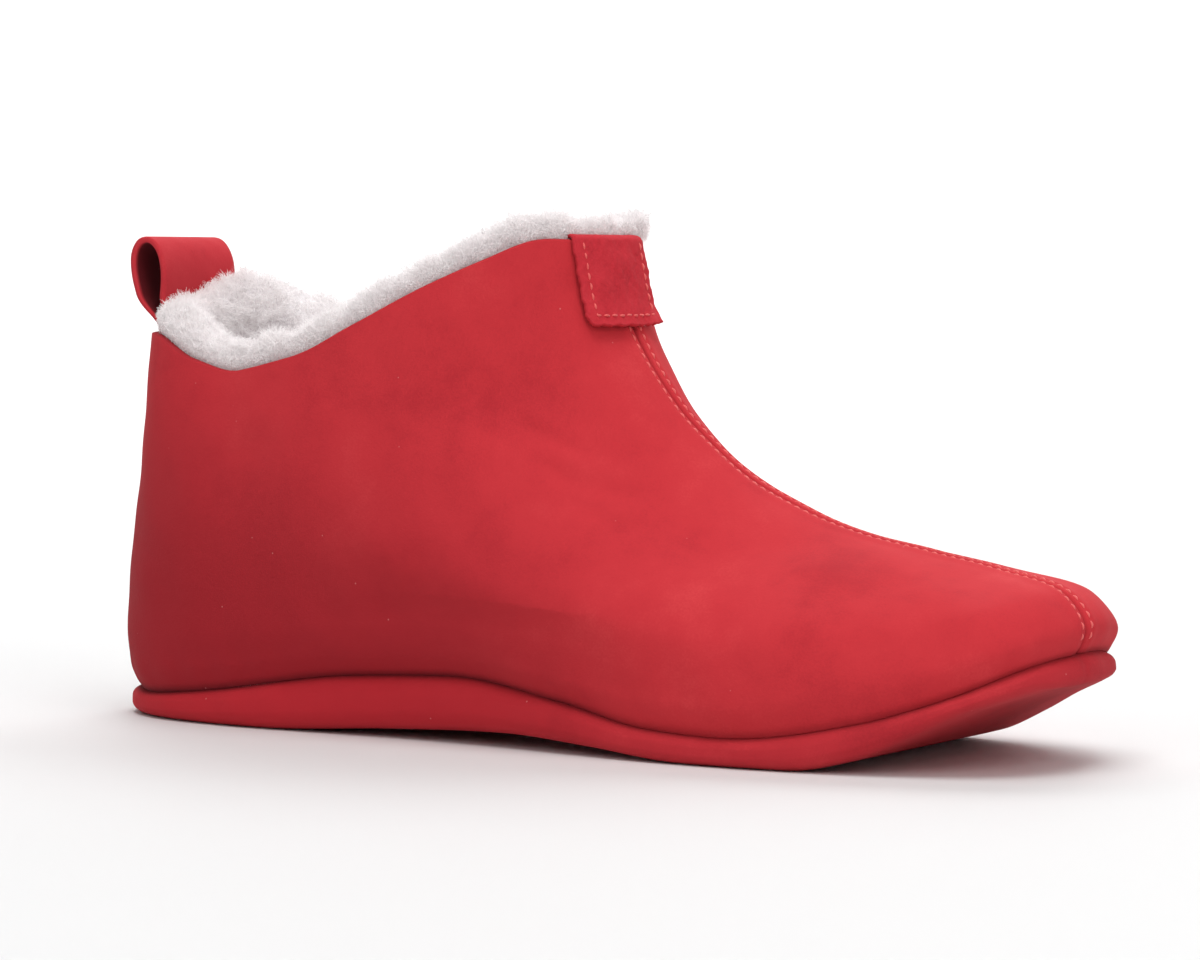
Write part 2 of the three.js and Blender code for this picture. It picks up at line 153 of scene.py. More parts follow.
def fade(x, low=0.0, high=1.0):
    """Smooth step: 0 up to low, 1 from high on, level at both ends."""
    s = np.clip((np.asarray(x, float) - low) / (high - low), 0, 1)
    return s * s * (3 - 2 * s)


def lean(x):
    """How far the centre line lies to the outer side at a length: the waist's lean less the toe's."""
    share = np.asarray(x) / LENGTH
    waist = through(LEAN["along"], LEAN["waist"], share)
    return WAIST_LEAN * waist - TOE_LEAN * through(LEAN["along"], LEAN["toe"], share)


def underside(x):
    """Height of the sole's underside at a length: the arch's share plus the toe spring's share."""
    share = np.asarray(x) / LENGTH
    arch = through(FLOOR["along"], FLOOR["arch"], share)
    return ARCH_LIFT * arch + TOE_SPRING * through(FLOOR["along"], FLOOR["spring"], share)


# %% [markdown]
# ## The last as a function
# A point of the last has two parameters, its level above the sole seam and its angle round the
# ring. Each ring is an oval whose half width changes from heel to nose, and whose plane dips to
# follow the sole seam below and the collar above.

# %% The last and the skin of leather on it
def ring_ends(level, inset):
    """Heel and nose of a ring, in the side view, moved in along the normals of their lines."""
    level = np.asarray(level, float)
    ends = []
    for end, height, outward in (("heel", HEEL_HEIGHT, -1), ("nose", INSTEP_HEIGHT, 1)):
        def place(v):
            x = LENGTH * through(RING["level"], RING[end + "_x"], v)
            return x, height * through(RING["level"], RING[end + "_z"], v)
        x, z = place(level)
        low, high = place(np.clip(level - 0.004, 0, 1)), place(np.clip(level + 0.004, 0, 1))
        dx, dz = high[0] - low[0], high[1] - low[1]
        size = np.hypot(dx, dz)
        ends.append((x - inset * outward * dz / size, z + inset * outward * dx / size))
    return ends


def half_width(level, along):
    """Half width of a ring, from its five shares of the ball width."""
    level, along = np.broadcast_arrays(level, along)
    columns = [through(RING["level"], RING[name], level) for name in RING_COLUMNS[5:]]
    return BALL_WIDTH * through(WIDTH_STATIONS, np.stack(columns, -1), along)


def last(level, angle, inset=0.0):
    """Point of the last: the oval ring, less the dips of the seam and the collar, plus the lean."""
    level, angle = np.broadcast_arrays(np.asarray(level, float), np.asarray(angle, float))
    (heel_x, heel_z), (nose_x, nose_z) = ring_ends(level, inset)
    along = (1 - np.cos(angle)) / 2
    x = heel_x + (nose_x - heel_x) * along - COLLAR_TURN * np.sin(angle) * (along * level) ** 2
    seam = SEAM_DIP * through(SEAM["along"], SEAM["dip"], along) * (1 - level) ** 3
    collar = COLLAR_DIP * through(COLLAR["along"], COLLAR["dip"], along) * level ** 2
    y = -(half_width(level, along) - inset) * np.sin(angle) + lean(x) * (1 - level)
    return np.stack([x, y, heel_z + (nose_z - heel_z) * along - seam - collar], -1)


def unit(vectors):
    return vectors / np.maximum(np.linalg.norm(vectors, axis=-1, keepdims=True), 1e-12)


def skin_normal(level, angle, square=True):
    """Outward normal of the last: round the ring crossed with up the ring.

    Where square is set, it turns level at the sole seam and the collar, so the wall's edge is square.
    """
    level, angle = np.broadcast_arrays(np.asarray(level, float), np.asarray(angle, float))
    step = 0.003
    up = last(np.clip(level + step, 0, 1), angle) - last(np.clip(level - step, 0, 1), angle)
    normal = unit(np.cross(last(level, angle + step) - last(level, angle - step), up))
    if square:
        normal[..., 2] *= fade(level, 0, 0.1) * fade(1 - level, 0, 0.06)
    return unit(normal)


def skin(level, angle, depth):
    """Point at a depth below the leather's outer face."""
    return last(level, angle) - skin_normal(level, angle) * np.asarray(depth)[..., None]


widest_ring = last(0.06, np.linspace(0, 2 * np.pi, 400))
print("the last's ball width, mm:", round(float(np.ptp(widest_ring[:, 1])), 1))

# %% [markdown]
# ## From points to meshes
# A grid of points becomes a mesh when each cell gets a quad. Blender's arrays take whole numpy
# arrays with foreach_set, which is far quicker than adding vertices one by one.


# %% Mesh helpers
def to_frame(points):
    """Millimetres from the back of the heel to metres from the frame's origin."""
    return (np.asarray(points, float) - (HEEL_REST, 0, 0)) * MM


def added(name, data):
    """A new object at the origin."""
    made = bpy.data.objects.new(name, data)
    bpy.context.scene.collection.objects.link(made)
    return made


def mesh_piece(name, points, faces, finish, weld=False, shade=None):
    """One object at the origin, from an array of points and an array of each face's corners.

    shade, where given, is a number from 0 to 1 at each point: how far the finish darkens there with
    painted shade.
    """
    points, faces = to_frame(points).reshape(-1, 3), np.asarray(faces)
    mesh = bpy.data.meshes.new(name)
    mesh.vertices.add(len(points))
    mesh.vertices.foreach_set("co", points.astype(np.float32).ravel())
    mesh.loops.add(faces.size)
    mesh.loops.foreach_set("vertex_index", faces.astype(np.int32).ravel())
    mesh.polygons.add(len(faces))
    mesh.polygons.foreach_set("loop_start", np.arange(0, faces.size, faces.shape[1], dtype=np.int32))
    mesh.update(calc_edges=True)
    mesh.validate()
    if shade is not None:
        darkness = mesh.attributes.new("shade", "FLOAT", "POINT")
        darkness.data.foreach_set("value", np.ravel(shade).astype(np.float32))
    if weld:
        work = bmesh.new()
        work.from_mesh(mesh)
        bmesh.ops.remove_doubles(work, verts=work.verts, dist=1e-7)
        bmesh.ops.dissolve_degenerate(work, edges=work.edges, dist=1e-8)
        bmesh.ops.recalc_face_normals(work, faces=work.faces)
        work.to_mesh(mesh)
        work.free()
    mesh.shade_smooth()
    mesh.materials.append(finish)
    print(name, "faces:", len(mesh.polygons))
    return added(name, mesh)


def grid_faces(rows, columns, along=False):
    """Corners of the quads of a grid that closes round its columns, or along its rows too."""
    i = np.arange(rows if along else rows - 1)[:, None]
    j = np.arange(columns)[None]
    below, above = i * columns, ((i + 1) % rows) * columns
    right = (j + 1) % columns
    corners = np.broadcast_arrays(below + j, below + right, above + right, above + j)
    return np.stack(corners, -1).reshape(-1, 4)


def end_caps(rows, columns):
    """Quads across the first and last loop of a strip, whose two faces have the same columns."""
    i = np.arange(columns // 2 - 1)
    first = np.stack([i, i + 1, columns - 2 - i, columns - 1 - i], -1)
    return np.concatenate([first[:, ::-1], first + (rows - 1) * columns])


def wrapped_piece(name, rows, finish, along=False, capped=False, shade=None):
    """A piece whose rows of points are closed loops, welded where a loop shrinks to a point."""
    faces = grid_faces(*rows.shape[:2], along)
    if capped:
        faces = np.concatenate([faces, end_caps(*rows.shape[:2])])
    return mesh_piece(name, rows, faces, finish, weld=True, shade=shade)


def ripple(points, size, seed, waves=14):
    """Smooth unevenness between about -1 and 1: a sum of plane waves in random directions."""
    random = np.random.default_rng(seed)
    direction = unit(random.normal(size=(waves, 3)))
    pace = 2 * np.pi / (size * random.uniform(0.7, 1.5, waves))
    phase = random.uniform(0, 2 * np.pi, waves)
    return np.sin(points @ (direction * pace[:, None]).T + phase).sum(-1) / np.sqrt(waves)


def unevenness(points, rows):
    """Ripples added up, from rows of a height, a wave's size and a seed."""
    return sum(height * ripple(points, size, seed) for height, size, seed in rows)


def bell(x, width):
    """Bell curve, 1 at 0 and near nothing past twice the width."""
    return np.exp(-(np.asarray(x) / width) ** 2)


# %% [markdown]
# ## Camera, light and floor
# The camera stands where the photograph was taken from: 28 degrees round from the side towards the
# toe, barely above the floor, with a long lens. It is turned to frame the one slipper. Large area
# lights give the soft studio light, brightest from the toe side, and one more lights the backdrop,
# so that the floor runs out into plain white as in a product photograph.

# %% Camera
IMAGE_WIDTH = 1200
AZIMUTH, ELEVATION = math.radians(28), math.radians(2.4)
DISTANCE = 1.0
AIM = Vector(to_frame((196.8, 0, 70.4)))
BACK = Vector((
    math.sin(AZIMUTH) * math.cos(ELEVATION),
    -math.cos(AZIMUTH) * math.cos(ELEVATION),
    math.sin(ELEVATION),
))
FOCAL_PX = 3327 * 1.28
SLIPPER_MIDDLE = Vector(to_frame((139, 0, 62)))
camera = added("camera", bpy.data.cameras.new("camera"))
camera.location = AIM + BACK * DISTANCE
camera.rotation_euler = (SLIPPER_MIDDLE - camera.location).to_track_quat("-Z", "Y").to_euler()
camera.data.sensor_width = 36
camera.data.lens = 36 * FOCAL_PX / IMAGE_WIDTH
camera.data.clip_start = 0.05
bpy.context.scene.camera = camera
bpy.context.scene.view_settings.view_transform = "Standard"
print("lens, mm:", round(camera.data.lens, 1))


# %% Lights and floor
def area_light(name, place, target, size, power):
    """A square soft box, turned to its target."""
    data = bpy.data.lights.new(name, "AREA")
    data.size, data.energy = size, power
    lamp = added(name, data)
    lamp.location = place
    lamp.rotation_euler = (Vector(target) - Vector(place)).to_track_quat("-Z", "Y").to_euler()


area_light("top_light", (0.25, -0.3, 1.45), (0.12, 0, 0.05), 1.0, 14)
area_light("key_light", (1.15, -0.65, 0.85), (0.12, 0, 0.05), 0.7, 4.2)
area_light("fill_light", (0.3, -1.6, 0.9), (0.1, 0, 0.05), 0.8, 4)
area_light("backdrop_light", (-0.55, 1.35, 1.5), (-0.7, 1.75, 0.0), 1.6, 32)
world = bpy.data.worlds.new("studio")
world.use_nodes = True
sky = world.node_tree.nodes["Background"].inputs
sky["Color"].default_value = (1, 1, 1, 1)
sky["Strength"].default_value = 0.22
bpy.context.scene.world = world


def build_floor():
    """A round floor whose edge sweeps up into a wall: a profile turned round a circle."""
    turn = np.linspace(0, np.pi / 2, 14)
    reach = np.concatenate([[0.02, 0.6, 1.2], 1.5 + 0.8 * np.sin(turn), [2.3]])
    height = np.concatenate([[0, 0, 0], 0.8 - 0.8 * np.cos(turn), [2.0]])
    angle = np.linspace(0, 2 * np.pi, 96, endpoint=False)
    across, deep = reach[:, None] * np.cos(angle), reach[:, None] * np.sin(angle)
    points = np.stack([across, deep, height[:, None] + 0 * angle], -1)
    faces = np.roll(grid_faces(*points.shape[:2])[:, ::-1], 1, axis=1).tolist()
    mesh = bpy.data.meshes.new("floor")
    mesh.from_pydata(points.reshape(-1, 3).tolist(), [], faces + [list(range(angle.size))])
    mesh.shade_smooth()
    return added("floor", mesh)


floor = build_floor()
floor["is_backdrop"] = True

# %% [markdown]
# ## Shader maths as expressions
# A material is a graph of nodes. Written out node by node it is hard to read, so one small class
# wraps a socket and lets Python's own operators add the Math nodes.


# %% Finishes
class Socket:
    """A node's output that can be added, multiplied and so on: each operator adds a Math node."""

    def __init__(self, finish, output):
        self.finish, self.output = finish, output

    def maths(self, operation, *others):
        sockets = dict(enumerate((self, *others)))
        return self.finish.node("ShaderNodeMath", {"operation": operation}, sockets)

    def __add__(self, other): return self.maths("ADD", other)
    def __sub__(self, other): return self.maths("SUBTRACT", other)
    def __mul__(self, other): return self.maths("MULTIPLY", other)
    def __neg__(self): return self * -1
    def __rsub__(self, other): return -self + other
    __radd__, __rmul__ = __add__, __mul__

    def clamped(self, low=0.0, high=1.0):
        return self.maths("MAXIMUM", low).maths("MINIMUM", high)

    def between(self, low, high):
        """0 up to low, 1 from high on, smooth between them."""
        names = {"Value": self, "From Min": low, "From Max": high}
        return self.finish.node("ShaderNodeMapRange", {"interpolation_type": "SMOOTHSTEP"}, names)


class Finish:
    """A material with one Principled shader."""

    def __init__(self, name):
        self.material = bpy.data.materials.new(name)
        self.material.use_nodes = True
        self.tree = self.material.node_tree
        self.shader = self.tree.nodes["Principled BSDF"]
        self.place = self.node("ShaderNodeTexCoord", {}, {}, "Object")

    def node(self, kind, settings, sockets, output=0):
        """Any node: its type, its settings, what its sockets hold, and which output is wanted."""
        made = self.tree.nodes.new(kind)
        for name, value in settings.items():
            setattr(made, name, value)
        for name, value in sockets.items():
            self.feed(made.inputs[name], value)
        return Socket(self, made.outputs[output])

    def feed(self, socket, value):
        """Links a socket to another one, or sets its value."""
        if isinstance(value, Socket):
            self.tree.links.new(value.output, socket)
        else:
            socket.default_value = value

    def noise(self, size_mm, detail=3.0, roughness=0.55):
        """Noise whose blotches are about a size across, in millimetres, from 0 to 1."""
        names = {"Vector": self.place, "Scale": 1 / (size_mm * MM), "Detail": detail}
        return self.node("ShaderNodeTexNoise", {}, {**names, "Roughness": roughness})

    def mixed(self, factor, first, second):
        """Colour between two colours."""
        names = {0: factor, 6: first, 7: second}
        return self.node("ShaderNodeMix", {"data_type": "RGBA"}, names, 2)

    def bump(self, height, depth_mm, under=None):
        names = {"Height": height, "Distance": depth_mm * MM, "Strength": 1.0}
        if under is not None:
            names["Normal"] = under
        return self.node("ShaderNodeBump", {}, names)

    def set(self, **values):
        """Feeds or sets the shader's own sockets, named with _ for a space."""
        for name, value in values.items():
            self.feed(self.shader.inputs[name.replace("_", " ")], value)
        return self.material


def colour(red, green, blue):
    """A colour as the eye reads it off a screen, 0 to 255, as the linear one that a shader takes."""
    values = [c / 255 for c in (red, green, blue)]
    return tuple(c / 12.92 if c < 0.04045 else ((c + 0.055) / 1.055) ** 2.4 for c in values) + (1.0,)


# %% [markdown]
# ### Nubuck and suede
# Nubuck is leather sanded until its face has a fine velvet nap. It has almost no gloss, its colour
# shifts in soft blotches where the nap lies differently, and it brightens towards grazing light,
# which the sheen gives.


# %% Nubuck, suede, thread, fleece
# The colour of painted shade: in the seam grooves, on the collar edge and in the heel loop's opening
PAINTED_SHADE_COLOUR = colour(96, 14, 24)


def painted_heel_shade(finish):
    """Mask of painted shade: 1 low on the heel and the waist, where less light falls, and 0 up and
    forward of them.
    """
    x, z = (finish.node("ShaderNodeSeparateXYZ", {}, {"Vector": finish.place}, axis) for axis in (0, 2))
    return (1 - (z + x * 0.35).between(0.025, 0.115)) * (1 - x.between(0.09, 0.16))


def nap(name, base, dark, light, deep, grain_mm=0.55, depth_mm=0.05, sheen=0.03):
    """Napped leather: light and dark blotches, a fine grain, and painted shade low on the heel and in
    grooves.
    """
    finish = Finish(name)
    broad = finish.noise(34, 3)
    small = finish.noise(4.5, 4, 0.6)
    grain = finish.noise(grain_mm, 3, 0.6)
    tone = ((broad - 0.5) * 1.5 + (small - 0.5) * 0.35 + (grain - 0.5) * 0.5 + 0.5).clamped()
    body = finish.mixed(tone.between(0.0, 0.55), dark, base)
    body = finish.mixed(tone.between(0.5, 1.0), body, light)
    # deep is the colour of the painted shade low on the heel and the waist
    body = finish.mixed(painted_heel_shade(finish), body, deep)
    # painted shade, as much as each piece's shade attribute asks
    groove = finish.node("ShaderNodeAttribute", {"attribute_name": "shade"}, {}, "Fac")
    body = finish.mixed(groove, body, PAINTED_SHADE_COLOUR)
    uneven = finish.bump(finish.noise(7, 3), 0.10)
    normal = finish.bump(grain, depth_mm, uneven)
    spots = finish.node("ShaderNodeTexVoronoi", {}, {"Vector": finish.place, "Scale": 1 / (8 * MM)})
    body = finish.mixed((1 - spots.between(0.015, 0.035)) * 0.4, body, colour(226, 150, 148))
    return finish.set(
        Base_Color=body,
        Roughness=0.82 + grain * 0.14,
        Normal=normal,
        Specular_IOR_Level=0.25,
        Sheen_Weight=sheen,
        Sheen_Roughness=0.45,
        Sheen_Tint=light,
    )


def pile(name, base, shade, sheen=0.3, glow=0.04, passing=None):
    """Fleece: off-white with faint blotches, and a soft broken surface.

    Light that bounces many times between white fibres comes out again, and a faint glow stands for
    it. passing, where given, is the share of light that comes out on the far side of a fibre.
    """
    finish = Finish(name)
    blotch = finish.noise(9, 3, 0.6)
    fine = finish.noise(1.1, 3, 0.6)
    tone = (blotch * 0.6 + fine * 0.5).between(0.25, 0.75)
    finish.set(
        Base_Color=finish.mixed(tone, shade, base),
        Roughness=0.95,
        Normal=finish.bump(fine, 0.5),
        Specular_IOR_Level=0.15,
        Sheen_Weight=sheen,
        Sheen_Roughness=0.6,
        Emission_Color=base,
        Emission_Strength=glow,
    )
    if passing:
        lit = Socket(finish, finish.shader.outputs[0])
        passed = finish.node("ShaderNodeBsdfTranslucent", {}, {"Color": base})
        shaders = {"Fac": passing, 1: lit, 2: passed}
        both = finish.node("ShaderNodeMixShader", {}, shaders)
        finish.feed(finish.tree.nodes["Material Output"].inputs["Surface"], both)
    return finish.material


# Each leather's base, dark and light tones and its painted shade low on the heel, as read off a screen
LEATHERS = {
    "nubuck": ((196, 46, 54), (176, 36, 46), (207, 60, 65), (158, 28, 38)),
    "sole_nubuck": ((186, 42, 51), (164, 32, 42), (200, 56, 62), (184, 36, 46)),
    "loop_nubuck": ((192, 47, 56), (160, 32, 42), (205, 64, 70), (158, 28, 38)),
    "suede": ((194, 44, 55), (150, 25, 37), (212, 72, 80), (158, 28, 38)),
}
SUEDE_NAP = {"grain_mm": 0.7, "depth_mm": 0.16, "sheen": 0.2}
tones = {name: [colour(*tone) for tone in row] for name, row in LEATHERS.items()}
nubuck, sole_nubuck, loop_nubuck = (nap(name, *tones[name]) for name in list(LEATHERS)[:3])
suede = nap("suede", *tones["suede"], **SUEDE_NAP)
fleece_base = pile("fleece_base", colour(238, 233, 234), colour(222, 216, 218))
hair_tones = colour(252, 249, 249), colour(240, 235, 236)
fleece_hair = pile("fleece_hair", *hair_tones, sheen=0.15, glow=0.1, passing=0.45)
yarn = Finish("thread")
strands = yarn.mixed(yarn.noise(0.5), colour(216, 74, 74), colour(238, 106, 100))
thread = yarn.set(Base_Color=strands, Roughness=0.6, Sheen_Weight=0.2)
pale = Finish("floor")
paper = pale.mixed(pale.noise(300, 2), (0.70, 0.70, 0.70, 1), (0.73, 0.73, 0.73, 1))
floor.data.materials.append(pale.set(Base_Color=paper, Roughness=0.7))
print("materials:", [m.name for m in bpy.data.materials if m.users])

# %% [markdown]
# ## The upper
# Two halves of nubuck meet at the centre front and the centre back. Where they are sewn the edges
# sink into a groove and the leather beside it puffs up. The groove, the puffs, the soft unevenness
# of worn leather and the creases at the ankle are all small displacements along the normal, so the
# wall stays one closed surface.

# %% The upper's surface
FRONT_SEAM_DEPTH = 0.9
BACK_SEAM_DEPTH = 0.6
STITCH_OFFSET = 1.9  # of each row from the front seam
COLLAR_ROUNDING, COLLAR_SHADE = 0.3, 0.35
FAR = 1e3  # stands for the other end of the slipper
UPPER_WAVES = [(0.45, 46, 3), (0.16, 17, 5)]  # height, size and seed, as for all waves below
PUCKER, TUCK = 0.16, 0.5  # height of the puckers at the sole seam, and how far its edge goes in
CREASE_COLUMNS = ("x", "z", "length", "slope", "bow", "depth", "width")
INNER_CREASES = [
    (150, 62, 34, -0.35, 3.0, 0.45, 2.6),
    (158, 54, 30, -0.30, 3.0, 0.40, 2.4),
    (141, 72, 26, -0.45, 2.5, 0.35, 2.4),
    (60, 70, 40, 0.25, -4.0, 0.40, 5.0),
    (95, 30, 46, 0.10, 4.0, 0.45, 6.0),
]
OUTER_CREASES = [
    (148, 66, 36, -0.40, 3.0, 0.55, 2.4),
    (156, 58, 34, -0.32, 3.5, 0.50, 2.2),
    (140, 76, 30, -0.50, 2.5, 0.40, 2.2),
    (70, 62, 36, 0.20, -4.0, 0.40, 5.0),
]


# The front seam runs down the middle, and over the toe it turns a little to the inner side
SEAM_TURN = {"level": [0, 0.07, 0.15, 0.24, 0.36, 1], "turn": [0.057, 0.054, 0.038, 0.02, 0, 0]}


def front_line(level):
    """Angle of the front seam at a level."""
    return np.pi - through(SEAM_TURN["level"], SEAM_TURN["turn"], level)


def front_pace(level):
    """Millimetres along the ring for each radian at the front seam: across it and along the last."""
    turn = np.pi - front_line(level)
    return np.hypot(half_width(level, 1.0) * np.cos(turn), LENGTH / 2 * np.sin(turn))


def across_front(level, angle):
    """Distance from the front seam along the leather, in millimetres."""
    return np.where(np.cos(angle) < 0, front_pace(level) * np.sin(angle - front_line(level)), FAR)


def across_back(level, angle):
    """Distance from the centre-back seam along the leather, in millimetres."""
    return np.where(np.cos(angle) > 0, half_width(level, 0.0) * np.sin(angle), FAR)


def seam_shade(x):
    """How dark the painted shade in the sole seam's groove is at a length: softer towards the toe."""
    return 0.75 - 0.35 * fade(x, 110, 200)


def seam_relief(distance, depth):
    """A sharp groove, a puff on each side, and a slight dent where a row of thread pulls down."""
    side = np.abs(distance)
    groove = -depth * bell(side, 0.5)
    puff = 0.38 * depth * bell(side - 2.7, 1.8)
    dent = -0.15 * bell(side - STITCH_OFFSET, 0.35)
    return groove + puff + dent


def creases(points, table):
    """Soft troughs, each with a low ridge: bell curves across a bowed line, fading at its ends."""
    relief = np.zeros(points.shape[:-1])
    for row in table:
        crease = dict(zip(CREASE_COLUMNS, row))
        ahead = points[..., 0] - crease["x"]
        along = ahead / (crease["length"] / 2)
        line = crease["z"] + crease["slope"] * ahead + crease["bow"] * along ** 2
        off = (points[..., 2] - line) / crease["width"]
        ends = fade(1 - np.abs(along), 0, 0.7)
        relief += crease["depth"] * ends * (0.45 * bell(off - 1.6, 0.9) - bell(off, 0.8))
    return relief


def upper_relief(level, angle):
    """All of the upper's displacement along its normal."""
    points = last(level, angle)
    front = seam_relief(across_front(level, angle), FRONT_SEAM_DEPTH)
    back = seam_relief(across_back(level, angle), BACK_SEAM_DEPTH)
    inner = np.sin(angle) > 0
    folds = np.where(inner, creases(points, INNER_CREASES), creases(points, OUTER_CREASES))
    uneven = unevenness(points, UPPER_WAVES)
    quiet = fade(level, 0, 0.08)
    pucker = PUCKER * np.sin(angle * 46 + 2 * np.sin(angle * 7)) * bell(level - 0.05, 0.035)
    tucked = -TUCK * bell(level, 0.012)
    return front + back + (folds + uneven) * quiet + pucker + tucked


def spaced_angles(count):
    """Angles round a ring, closer together at the heel and the front seam."""
    even = np.linspace(0, 2 * np.pi, count, endpoint=False)
    return even - 0.3 * np.sin(2 * even)


def spaced_levels(count, crowding=0.55):
    """Levels from the sole seam to the collar, closer together at both."""
    even = np.linspace(0, 1, count)
    return crowding * (1 - np.cos(np.pi * even)) / 2 + (1 - crowding) * even


def build_upper():
    """Outer face, round collar edge and inner face, closed at the sole seam, with painted shade in the
    grooves and on the collar edge.
    """
    angles = spaced_angles(520)[None]
    levels = spaced_levels(132)[:, None]
    outer = skin(levels, angles, -upper_relief(levels, angles))
    # the collar's edge is a half circle from the outer to the inner face
    turn = np.linspace(np.pi, 0, 8)[1:-1, None]
    depth = LEATHER / 2 * (1 + np.cos(turn)) + np.zeros_like(angles)
    edge = skin(np.ones_like(depth), angles + np.zeros_like(depth), depth)
    edge[..., 2] += COLLAR_ROUNDING * np.sin(turn)
    edge += (outer[-1] - skin(1.0, angles[0], 0.0))[None] * fade(np.cos(np.pi - turn), -1, 1)[..., None]
    inner = skin(np.linspace(1, 0, 16)[:, None], angles, LEATHER)
    rows = np.concatenate([outer, edge, inner])
    # painted shade in the grooves of the sole seam and of the front and back seams
    groove = seam_shade(outer[..., 0]) * bell(levels, 0.012)
    groove = groove + 0.5 * bell(across_front(levels, angles), 0.45)
    groove = np.clip(groove + 0.4 * bell(across_back(levels, angles), 0.45), 0, 1)
    shade = np.zeros(rows.shape[:2])
    shade[:len(groove)] = groove
    # painted shade on the collar's edge, which would otherwise catch the light
    shade[len(groove):len(groove) + len(edge)] = COLLAR_SHADE
    return wrapped_piece("upper_leather", rows, nubuck, along=True, shade=shade)


upper = build_upper()

# %% [markdown]
# ## The sole
# The sole is one piece of soft leather sewn to the upper inside out and then turned, which is why
# its side swells out from the seam and tucks under. It has a flat spot at the heel and the ball,
# a raised waist and a toe that springs off the floor.

# %% The sole's surface
SOLE_WALL = {
    "down": [0, 0.12, 0.35, 0.6, 0.84, 0.96, 1],
    "out": [-0.25, 0.5, 0.95, 1, 0.55, -0.3, -1.4],
}
WALL_ROWS = 34
SOLE_WAVES = [(0.22, 26, 11), (0.12, 9, 12)]
SEAM_GAP = 0.02  # the two sewn edges meet
FRONT_NOTCH = 0.5  # where the front seam pulls the sole's side in
SPINE_INSET = 28.0  # from each end of the sole to the spine down its middle


def seam_out(angle, out):
    """Point of the sole seam, moved out in plan."""
    return last(0.0, angle) + skin_normal(0.0, angle) * np.asarray(out)[..., None]


def wall_rows(steps, angles, inset, lift):
    """The side of the sole: down from the seam by share, and out by the wall's table."""
    turn = np.linspace(0, 1, len(SOLE_WALL["down"]))
    knots = np.linspace(0, 1, steps)[:, None]
    down = through(turn, SOLE_WALL["down"], knots)
    out = SIDE_BULGE * through(turn, SOLE_WALL["out"], knots) - inset
    points = seam_out(angles + np.zeros_like(out), out + np.zeros_like(angles))
    top = last(0.0, angles)[..., 2] - SEAM_GAP
    bottom = underside(points[..., 0]) + lift
    points[..., 2] = top + (bottom - top) * down
    return points


def drawn_in(points, angles, shares, lift):
    """Rings between an edge and the spine down the sole's middle."""
    x = np.clip(last(0.0, angles)[..., 0], SPINE_INSET, LENGTH - SPINE_INSET)
    spine = np.stack([x, lean(x), np.zeros_like(x)], -1)
    rows = spine + (points - spine) * np.asarray(shares)[:, None, None]
    rows[..., 2] = underside(rows[..., 0]) + lift
    return rows


def mirrored_angles(count):
    """Angles round a ring, the same on both sides of the middle."""
    half = spaced_angles(count)[:count // 2 + 1]
    return np.concatenate([half, 2 * np.pi - half[-2:0:-1]])


def build_sole():
    """Underside, swollen side, inner side and floor of the dish, each a run of rows."""
    angles = mirrored_angles(440)
    shares = np.linspace(0, 1, 22)[:-1]
    outer = wall_rows(WALL_ROWS, angles, 0, 0)
    relief = unevenness(outer, SOLE_WAVES)
    outward = skin_normal(0.0, angles)
    settle = bell(np.linspace(-0.4, 1.6, WALL_ROWS), 0.8)[:, None]
    down = np.linspace(0, 1, WALL_ROWS)[:, None]
    notch = -FRONT_NOTCH * bell(across_front(0.0, angles), 1.1) * bell(down, 0.45)
    outer = outer + outward * (relief * settle + notch)[..., None]
    under = drawn_in(outer[-1], angles, shares, 0)
    inner = wall_rows(10, angles, LEATHER, SOLE_THICKNESS)
    bed = drawn_in(inner[-1], angles, shares[::-1][::3], SOLE_THICKNESS)
    spine = drawn_in(inner[-1], angles, [0.0], SOLE_THICKNESS)
    rows = np.concatenate([under, outer[::-1], inner, bed, spine])
    # painted shade in the groove just below the sole seam
    below_seam = last(0.0, angles)[..., 2] - rows[..., 2]
    shade = np.zeros(rows.shape[:2])
    sides = slice(len(under), len(under) + len(outer))
    shade[sides] = seam_shade(rows[sides, :, 0]) * bell(below_seam[sides], 0.55)
    return wrapped_piece("sole_leather", rows, sole_nubuck, shade=shade)


sole = build_sole()

# %% [markdown]
# ## Stitches
# Each stitch is a short thread that dives into the leather at both ends. It is a small tube bent
# along an arc, and one function places hundreds of them along any seam as one array.


# %% Stitch helper
STITCH_SINK = 0.12  # of a thread's ends into the leather


